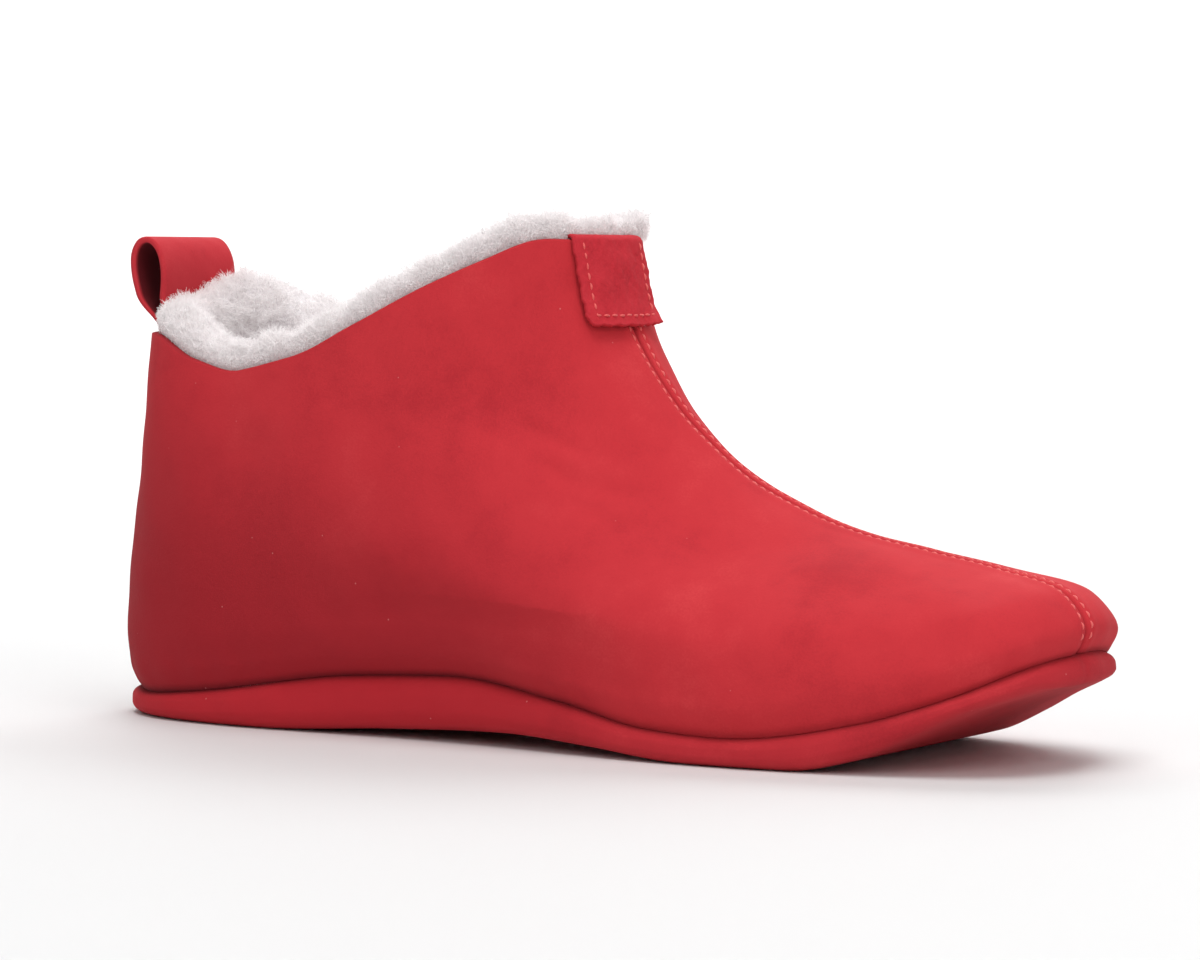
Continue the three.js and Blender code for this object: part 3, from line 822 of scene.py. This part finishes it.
def stitches(name, places, normals, pitch, fill=0.68, radius=0.3, rise=0.22, sides=6, steps=5):
    """Threads along a path on the leather: a tube along each arc, thinner at its ends.

    places and normals are the path's points and the surface's normals there.
    """
    reach = np.concatenate([[0], np.cumsum(np.linalg.norm(np.diff(places, axis=0), axis=1))])
    count = int(reach[-1] / pitch)
    starts = (np.arange(count) + 0.5 - fill / 2) * reach[-1] / count
    t = np.linspace(0, 1, steps)
    at = starts[:, None] + t * fill * reach[-1] / count
    centre = np.stack([np.interp(at, reach, places[:, k]) for k in range(3)], -1)
    normal = unit(np.stack([np.interp(at, reach, normals[:, k]) for k in range(3)], -1))
    centre = centre + normal * (rise * np.sin(np.pi * t) - STITCH_SINK)[:, None]
    along = unit(np.gradient(centre, axis=1))
    side = np.cross(along, normal)
    turn = np.arange(sides) * 2 * np.pi / sides
    girth = radius * (0.55 + 0.45 * np.sin(np.pi * t))[:, None, None]
    ring = np.cos(turn)[:, None] * side[:, :, None] + np.sin(turn)[:, None] * normal[:, :, None]
    tube = centre[:, :, None] + girth * ring
    faces = grid_faces(steps, sides)
    caps = np.array([[0, 5, 4, 3], [0, 3, 2, 1]])
    caps = np.concatenate([caps, caps[:, ::-1] + (steps - 1) * sides])
    one = np.concatenate([faces, caps])
    all_faces = (one[None] + (np.arange(count) * steps * sides)[:, None, None]).reshape(-1, 4)
    print(name, "stitches:", count)
    return mesh_piece(name, tube.reshape(-1, 3), all_faces, thread)


def on_upper(level, angle):
    """Place and normal on the finished upper."""
    normal = skin_normal(level, angle, square=False)
    return skin(level, angle, -upper_relief(level, angle)), normal


# %% Stitches of the front seam
FRONT_PITCH = 2.5
UNDER_TAB, NEAR_SOLE = 0.83, 0.035  # levels at which the front rows end


def front_row(side):
    """The path beside the front seam, from under the tab down to the sole seam."""
    levels = np.linspace(UNDER_TAB, NEAR_SOLE, 500)
    aside = np.arcsin(STITCH_OFFSET / front_pace(levels))
    return on_upper(levels, front_line(levels) + side * aside)


front_stitches = [stitches(f"front_stitches_{word}", *front_row(side), FRONT_PITCH)
                  for word, side in (("inner", -1), ("outer", 1))]

# %% [markdown]
# ## The suede tab
# A strip of suede is folded over the collar at the front and stitched down on three sides. Its cut
# edges are raw, and one lower corner has started to lift.

# %% Tab
TAB = {"inner_half": 15.0, "outer_half": 9.0, "height": 21.0, "turn_in": 5.0, "thickness": 1.4,
       "fold_rise": 0.6, "corner": 1.8, "inner_lift": 0.3, "outer_lift": 1.6, "ragged": 0.14}
SUEDE_WAVES = [(0.14, 6, 21), (0.06, 1.6, 22)]


def level_below(drop):
    """The level whose front point is a distance below the collar's, by halving."""
    top = last(1.0, np.pi)
    low, high = 0.3, 1.0
    for _ in range(30):
        middle = (low + high) / 2
        if np.linalg.norm(last(middle, np.pi) - top) > drop:
            low = middle
        else:
            high = middle
    return low


TAB_FOOT = level_below(TAB["height"])


def tab_surface(rows, share, reach):
    """A layer of the tab, out from the collar's middle line by its reach.

    share runs from -1 at the inner edge to 1 at the outer edge. The inner lower corner is rounded
    by a quarter circle, and the outer one stands off the leather.
    """
    level, turn = rows[:, None, 0], rows[:, None, 1]
    outer = fade(turn, np.pi * 0.98, np.pi)
    wide = np.where(share < 0, TAB["inner_half"], TAB["outer_half"])
    waver = np.sin(130 * level) + 0.6 * np.sin(310 * level + 1)
    wide = wide + TAB["ragged"] * waver * np.abs(share) ** 6
    corner = TAB["corner"]
    near_side = np.where(share < 0, np.maximum(corner - (1 + share) * wide, 0), 0)
    cut = corner - np.sqrt(corner ** 2 - near_side ** 2)
    cut = cut + TAB["ragged"] * (np.sin(23 * share) + 0.6 * np.sin(57 * share + 1))
    low = np.clip((1 - level) / (1 - TAB_FOOT), 0, 1)
    level = level + cut / TAB["height"] * (1 - TAB_FOOT) * low ** 8 * outer
    half = np.arcsin(wide / half_width(level, 1.0))
    loose = np.where(share < 0, TAB["inner_lift"], TAB["outer_lift"]) * share ** 2 * outer * low ** 3
    depth = LEATHER / 2 + np.cos(turn) * (reach + loose)
    points = skin(level + 0 * share, np.pi + half * share, depth)
    points[..., 2] += np.sin(turn) * reach * TAB["fold_rise"]
    return points


def build_tab():
    """Two layers from the foot of the tab over the collar, joined at their edges."""
    outer = np.stack([np.linspace(TAB_FOOT, 1, 60), np.full(60, np.pi)], -1)
    fold = np.stack([np.ones(10), np.linspace(np.pi, 0, 12)[1:-1]], -1)
    inner = np.stack([np.linspace(1, level_below(TAB["turn_in"]), 12), np.zeros(12)], -1)
    rows = np.concatenate([outer, fold, inner])
    share = np.linspace(-1, 1, 72)[None]
    near, far = LEATHER / 2 + CLEARANCE, LEATHER / 2 + CLEARANCE + TAB["thickness"]
    edge = np.minimum(1 - np.abs(share), 0.03) / 0.03
    thin = 0.25 * (1 - edge) * TAB["thickness"]
    face = tab_surface(rows, share, far - thin)
    back = tab_surface(rows, share, near + thin * 0.4)
    rough = unevenness(face, SUEDE_WAVES)
    face = face + skin_normal(np.clip(rows[:, None, 0], 0, 0.9), np.pi + share * 0.3) * rough[..., None]
    loops = np.concatenate([face, back[:, ::-1]], 1)
    return wrapped_piece("front_tab_suede", loops, suede, capped=True)


tab = build_tab()

# %% [markdown]
# ### The tab's stitches
# One row of thread holds the tab on three sides. Its path is worked out from the tab's own
# surface, so the threads lie on the suede wherever it bends.

# %% Stitches of the tab
TAB_MARGIN = 2.5
TAB_PITCH = 2.4


def tab_path():
    """Down one side of the tab, along its foot and up the other side, inside its edge by a margin."""
    foot = level_below(TAB["height"] - TAB_MARGIN)
    inner, outer = (1 - TAB_MARGIN / TAB[name] for name in ("inner_half", "outer_half"))
    levels = np.concatenate([np.linspace(1, foot, 80), np.full(80, foot), np.linspace(foot, 1, 80)])
    shares = np.concatenate([np.full(80, -inner), np.linspace(-inner, outer, 80), np.full(80, outer)])
    rows = np.stack([levels, np.full(len(levels), np.pi)], -1)
    places = tab_surface(rows, shares[:, None], LEATHER / 2 + CLEARANCE + TAB["thickness"])[:, 0]
    wide = np.where(shares < 0, TAB["inner_half"], TAB["outer_half"])
    half = np.arcsin(wide / half_width(levels, 1.0))
    return places, skin_normal(np.clip(levels, 0, 0.94), np.pi + half * shares, square=False)


tab_stitches = stitches("tab_stitches", *tab_path(), TAB_PITCH)

# %% [markdown]
# ## The heel loop
# A strap bent to a drop, with its two ends held between the leather and the fleece. The opening
# runs across the heel, wide enough for a finger.

# %% Loop
LOOP = {"width": 30.0, "height": 24.2, "half_width": 5.7, "depth": 13.0, "thickness": 1.6,
        "lean_back": 0.1, "inner_shade": 0.95}


def heel_face(y, z):
    """How far forward the heel's inner face lies at a height and a distance from the middle."""
    level, angle = np.ones_like(y), np.zeros_like(y)
    for _ in range(12):
        miss = np.stack([0 * y, y, z], -1) - skin(level, angle, LEATHER)
        level = np.clip(level + miss[..., 2] / HEEL_HEIGHT, 0.5, 1)
        angle = angle - miss[..., 1] / half_width(level, 0.0)
    return skin(level, angle, LEATHER)[..., 0]


def build_loop():
    """Leg, drop and leg as a path seen from the side, swept across the heel in two layers."""
    spacing = LOOP["thickness"] + CLEARANCE
    middle = CLEARANCE + LOOP["thickness"] / 2 + spacing / 2
    turn = np.linspace(0, 2 * np.pi, 110)
    side = -np.cos(turn / 2) * spacing / 2 - LOOP["half_width"] * np.sin(turn) * np.sin(turn / 2) ** 1.4
    up = (LOOP["height"] - LOOP["thickness"] / 2) * (1 - np.cos(turn)) / 2
    legs = np.linspace(-LOOP["depth"], 0, 16)[:-1]
    side = np.concatenate([np.full(15, -spacing / 2), side, np.full(15, spacing / 2)])
    up = np.concatenate([legs, up, legs[::-1]])
    path = np.stack([side, up], -1)
    along = unit(np.gradient(path, axis=0))
    normal = np.stack([-along[:, 1], along[:, 0]], -1)
    share = np.linspace(-1, 1, 48)[None]
    y = share * LOOP["width"] / 2

    def layer(reach):
        at = path[:, None] + normal[:, None] * reach[..., None]
        straight = fade(at[..., 1], 0, LOOP["height"] * 0.4) * 0.92
        rest = HEEL_HEIGHT + np.minimum(at[..., 1], 0)
        wide = np.broadcast_to(y, rest.shape)
        base = heel_face(wide, rest) * (1 - straight) + heel_face(0 * wide, rest) * straight
        x = base + middle + at[..., 0] - LOOP["lean_back"] * np.maximum(at[..., 1], 0)
        return np.stack([x, wide, HEEL_HEIGHT + at[..., 1]], -1)

    edge = np.minimum(1 - np.abs(share), 0.05) / 0.05
    half = LOOP["thickness"] / 2 * (0.86 + 0.14 * np.sqrt(edge)) + np.zeros((len(path), 1))
    front, back = layer(half), layer(-half)
    front[..., 0] += 0.06 * ripple(front, 6, 31)
    loops = np.concatenate([front, back[:, ::-1]], 1)
    # painted shade on the strap's inner face, where the opening gets little light; the cut edges are
    # left red
    inside = np.zeros(loops.shape[:2])
    off_edge = fade(1 - np.abs(share), 0, 0.08)
    inside[:, share.size:] = LOOP["inner_shade"] * fade(up, 0, 4)[:, None] * off_edge
    return wrapped_piece("heel_loop_strap", loops, loop_nubuck, capped=True, shade=inside)


loop = build_loop()

# %% [markdown]
# ## The fleece
# Curly fleece is a mass of fine fibres in small tufts. The body of it is a thick soft sock inside
# the leather, a lumpy solid that stands over the collar.

# %% Lining
RIM = {
    "across": [0.0, 0.0, 0.1, 0.45, 0.88, 1.1, 1.0],
    "up": [0, 0.5, 0.84, 1, 0.84, 0.42, 0],
}
# How far the fleece's body stands over the collar: most at the heel's outer side, least at the tab
RIM_HEIGHT = {
    "angle": [-3.15, -2.9, -2.6, -2.0, -1.4, -0.9, -0.4, 0, 0.4, 0.9, 1.5, 2.2, 2.7, 3.15],
    "height": [3.4, 5.2, 5.4, 8.2, 12.6, 14.6, 14.1, 9.8, 7.0, 5.4, 6.2, 5.4, 4.6, 3.4],
}
INNER_DEPTH = LEATHER + CLEARANCE + FLEECE
SWELL = {"all_round": 1.6, "heel": 7.4, "heel_angle": -0.55, "level": 0.93}
LUMPS = [(0.8, 11, 41), (0.45, 5, 42)]
SPILL, SPILL_ANGLE = 5.0, -2.74  # fleece that bulges over the leather beside the tab
LOOP_ANGLE = 0.36  # from the middle of the heel to the loop's edge
LEGS_DEPTH = 2 * (LOOP["thickness"] + CLEARANCE)  # of the loop's two legs behind the fleece


def turned(angle):
    """The same angle between -pi and pi, so that the outer side is negative."""
    return np.angle(np.exp(1j * np.asarray(angle)))


def lining_wall(level, angle):
    """The foot side of the fleece: the last moved in, fuller near the collar and most at the heel."""
    at_heel = SWELL["heel"] * bell(turned(angle - SWELL["heel_angle"]), 0.95)
    swell = (SWELL["all_round"] + at_heel) * bell(level - SWELL["level"], 0.2)
    return last(level, angle, INNER_DEPTH) - skin_normal(level, angle, square=False) * swell[..., None]


def beside_loop(angle):
    """0 where the loop's legs stand, 1 past its edges."""
    return fade(np.abs(turned(angle)), LOOP_ANGLE, LOOP_ANGLE + 0.1)


def rim_point(turn, angle):
    """The top of the fleece: from the leather, or the loop, across to the foot side and up."""
    knots = np.linspace(0, 1, len(RIM["up"]))
    across = through(knots, RIM["across"], turn)[..., None]
    depth = LEATHER + CLEARANCE + LEGS_DEPTH * (1 - beside_loop(angle))
    outer = skin(np.ones_like(angle), angle, depth)
    inner = lining_wall(np.ones_like(angle), angle)
    points = outer + (inner - outer) * across
    height = through(RIM_HEIGHT["angle"], RIM_HEIGHT["height"], turned(angle))
    points[..., 2] += height * through(knots, RIM["up"], turn)
    spill = SPILL * bell(turned(angle) - SPILL_ANGLE, 0.22) * fade(turn, 0.08, 0.4) * (1 - turn)
    return points + skin_normal(np.ones_like(angle), angle) * spill[..., None]


def build_lining():
    """Face against the leather, lumpy rim and lumpy foot side, closed at the bottom."""
    angles = spaced_angles(320)[None]
    outer = skin(np.linspace(0.008, 1, 12)[:, None], angles, LEATHER + CLEARANCE)
    turns = np.linspace(0, 1, 18)[1:-1, None]
    rim = rim_point(turns + 0 * angles, angles + 0 * turns)
    down = np.linspace(1, 0.008, 70)[:, None]
    wall = lining_wall(down + 0 * angles, angles + 0 * down)
    soft = np.concatenate([rim, wall])
    step = fade(np.arange(len(soft)), 0, 9)[:, None, None]
    inward = unit((soft.mean(1, keepdims=True) - soft) * (1, 1, 0))
    rise = np.array([0, 0, 1]) * np.concatenate([bell(turns - 0.5, 0.3), 0 * down])[..., None]
    soft = soft + (inward * step + rise) * (0.3 + unevenness(soft, LUMPS))[..., None]
    return wrapped_piece("fleece_sock", np.concatenate([outer, soft]), fleece_base, along=True)


lining = build_lining()

# %% [markdown]
# ### The footbed
# A fleece bed lies loose in the sole. A flat cut-out would do, but the bed shows through the
# collar, so it follows the sole's floor and rises to a soft crown.


# %% Footbed
def footbed_edge(angles):
    """The rim of the footbed's top, inside the leather."""
    return seam_out(angles, np.full(angles.shape, -LEATHER - CLEARANCE - 1.5))


def footbed_top(angles, shares):
    """The footbed's top: from its edge in to the spine, rising to a crown in the middle."""
    top_edge = footbed_edge(angles)
    crown = drawn_in(top_edge, angles, shares, SOLE_THICKNESS + CLEARANCE + FLEECE / 2 + 2.5)
    blend = fade(shares, 0, 0.72)[:, None]
    crown[..., 2] = crown[..., 2] * (1 - blend) + top_edge[None, :, 2] * blend
    crown[..., 2] += 0.5 * ripple(crown, 12, 51) * (1 - blend)
    return crown


def build_footbed():
    """Underside, brim and top of the bed, out from the spine and back to it."""
    angles = mirrored_angles(240)
    foot = seam_out(angles, np.full(240, -LEATHER - CLEARANCE - 1.4 * SIDE_BULGE))
    lower = drawn_in(foot, angles, np.linspace(0, 1, 6), SOLE_THICKNESS + CLEARANCE)
    brim = seam_out(angles, np.full(240, -LEATHER - CLEARANCE))
    brim[..., 2] -= 1.0
    rows = np.concatenate([lower, brim[None], footbed_top(angles, np.linspace(1, 0, 30))])
    return wrapped_piece("footbed_fleece", rows, fleece_base)


footbed = build_footbed()

# %% [markdown]
# ### The pile
# Fleece looks soft because single fibres show at its outline. Blender's hair would do, but it
# isn't a mesh and doesn't travel with the model. So tens of thousands of thin curved blades grow
# from the sock and the footbed, leaning into tufts.


# %% Fibres
BLADE = {"droop": 0.25, "lean": 0.7, "curl": 0.34, "curl_waves": 4.2, "taper": 0.75}
BLADE_LENGTH = {"rim": 3.6, "wall": 4.2, "bed": 3.4}
BLADE_COUNT = {"rim": 28000, "wall_top": 26000, "wall_low": 13000, "bed": 13000}
TUFT_WAVES = [(0.26, 7, 81), (0.12, 3, 82)]


def fibres(name, roots, normals, length, seed, width=0.24, steps=3, tuft=4.0, outward=None, room=0.5):
    """Thin blades from roots on the fleece: each leans into its tuft, then curls to one side.

    The lean is the slope of a smooth unevenness, so neighbours bend together. Where outward is
    given, a blade goes no further that way than its room, so that none crosses the leather.
    """
    random = np.random.default_rng(seed)
    count = len(roots)
    near = np.eye(3) * 0.35
    slope = np.stack([ripple(roots + o, tuft, 80) - ripple(roots - o, tuft, 80) for o in near], -1)
    stray = random.normal(size=(count, 3))
    bend = unit(slope + stray * 0.8)
    bend = bend - (bend * normals).sum(-1, keepdims=True) * normals * 0.8
    curl = unit(np.cross(normals, bend) + 0.3 * random.normal(size=(count, 3)))
    tufted = 1 + unevenness(roots, TUFT_WAVES)
    size = (length * random.uniform(0.5, 1.15, count) * tufted)[:, None, None]
    t = np.linspace(0, 1, steps + 1)[None, :, None]
    n, b, c = normals[:, None], bend[:, None], curl[:, None]
    spin = random.uniform(-1, 1, count)[:, None, None]
    curled = c * BLADE["curl"] * spin * np.sin(BLADE["curl_waves"] * t)
    path = size * (n * (t - BLADE["droop"] * t ** 2) + b * BLADE["lean"] * t ** 1.6 + curled)
    if outward is not None:
        out = (path * outward[:, None]).sum(-1, keepdims=True)
        space = np.broadcast_to(np.asarray(room, float).reshape(-1, 1, 1), out.shape)
        held = np.where(out > 0, space * (1 - np.exp(-np.maximum(out, 0) / space)), out)
        path = path + outward[:, None] * (held - out)
    line = roots[:, None] + path
    across = unit(np.cross(unit(np.gradient(line, axis=1)), stray[:, None]))
    taper = 1 - BLADE["taper"] * t ** 2
    half = 0.5 * width * taper * random.uniform(0.7, 1.3, count)[:, None, None]
    blade = np.stack([line - across * half, line + across * half], 2)
    j = np.arange(steps)[:, None] * 2
    one = np.concatenate([j, j + 1, j + 3, j + 2], 1)
    faces = (one[None] + (np.arange(count) * 2 * (steps + 1))[:, None, None]).reshape(-1, 4)
    return mesh_piece(name, blade.reshape(-1, 3), faces, fleece_hair)


def surface_normals(place, u, v, step=0.004):
    """Normal of a surface given as a function of two parameters."""
    du = place(u + step, v) - place(u - step, v)
    dv = place(u, v + step) - place(u, v - step)
    return unit(np.cross(dv, du))


def rim_fibres(name, count, seed):
    """Blades on the top of the fleece, held back from the leather and the loop."""
    random = np.random.default_rng(seed)
    turn = 0.04 + 0.93 * random.uniform(0, 1, count) ** 1.3  # most near the leather
    angle = random.uniform(0, 2 * np.pi, count)
    roots = rim_point(turn, angle)
    normals = surface_normals(rim_point, turn, angle)
    outward = skin_normal(np.ones(count), angle)
    normals = unit(normals + np.array([0, 0, 0.5]))
    height = roots[:, 2] - last(1.0, angle)[:, 2]
    room = 0.15 + 0.8 * np.maximum(height - 0.4, 0) * beside_loop(angle)
    return fibres(name, roots, normals, BLADE_LENGTH["rim"], seed, outward=outward, room=room)


def wall_fibres(name, count, seed, low, high):
    """Blades on the foot side of the fleece, between two levels."""
    random = np.random.default_rng(seed)
    level, angle = random.uniform(low, high, count), random.uniform(0, 2 * np.pi, count)
    roots = lining_wall(level, angle)
    inward = -surface_normals(lambda u, v: lining_wall(np.clip(u, 0, 1), v), level, angle)
    return fibres(name, roots, inward, BLADE_LENGTH["wall"], seed, width=0.3)


def footbed_fibres(name, count, seed):
    """Blades on the footbed, their roots found between the points of a grid of its top."""
    random = np.random.default_rng(seed)
    angle, share = random.uniform(0, 2 * np.pi, count), np.sqrt(random.uniform(0.0, 0.95, count))
    grid_angle, grid_share = np.linspace(0, 2 * np.pi, 241), np.linspace(0, 1, 40)
    top = footbed_top(grid_angle, grid_share)
    i, j = share * 39, angle / (2 * np.pi) * 240
    i0, j0 = np.minimum(i.astype(int), 38), np.minimum(j.astype(int), 239)
    fi, fj = (i - i0)[:, None], (j - j0)[:, None]
    low = top[i0, j0] * (1 - fj) + top[i0, j0 + 1] * fj
    high = top[i0 + 1, j0] * (1 - fj) + top[i0 + 1, j0 + 1] * fj
    roots = low * (1 - fi) + high * fi
    upward = np.tile([0.0, 0, 1], (count, 1))
    return fibres(name, roots, upward, BLADE_LENGTH["bed"], seed, width=0.34, steps=2)


rims = [rim_fibres(f"fleece_rim_{i}", BLADE_COUNT["rim"], 60 + i) for i in range(2)]
walls = [wall_fibres("fleece_wall_top", BLADE_COUNT["wall_top"], 70, 0.6, 1.0),
         wall_fibres("fleece_wall_low", BLADE_COUNT["wall_low"], 71, 0.12, 0.6)]
bed_fibres = footbed_fibres("fleece_bed", BLADE_COUNT["bed"], 72)
print("fibre faces:", sum(len(p.data.polygons) for p in rims + walls + [bed_fibres]))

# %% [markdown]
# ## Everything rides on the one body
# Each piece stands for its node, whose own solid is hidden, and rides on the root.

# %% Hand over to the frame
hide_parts("upper")
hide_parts("sole")
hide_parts("fleece_lining")
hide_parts("insole")
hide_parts("front_tab")
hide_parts("heel_loop")
owners = [(upper, "upper"), (sole, "sole"), (lining, "fleece_lining"), (footbed, "insole"),
          (tab, "front_tab"), (loop, "heel_loop"), (tab_stitches, "front_tab")]
owners += [(piece, "upper") for piece in front_stitches]
owners += [(piece, "fleece_lining") for piece in rims + walls]
owners += [(bed_fibres, "insole")]
for piece, owner in owners:
    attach(piece, "root")

visual_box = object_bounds()
for word, box in (("CAD", cad_box), ("visual", visual_box)):
    print(word, "box:", [[round(v, 4) for v in corner] for corner in box])
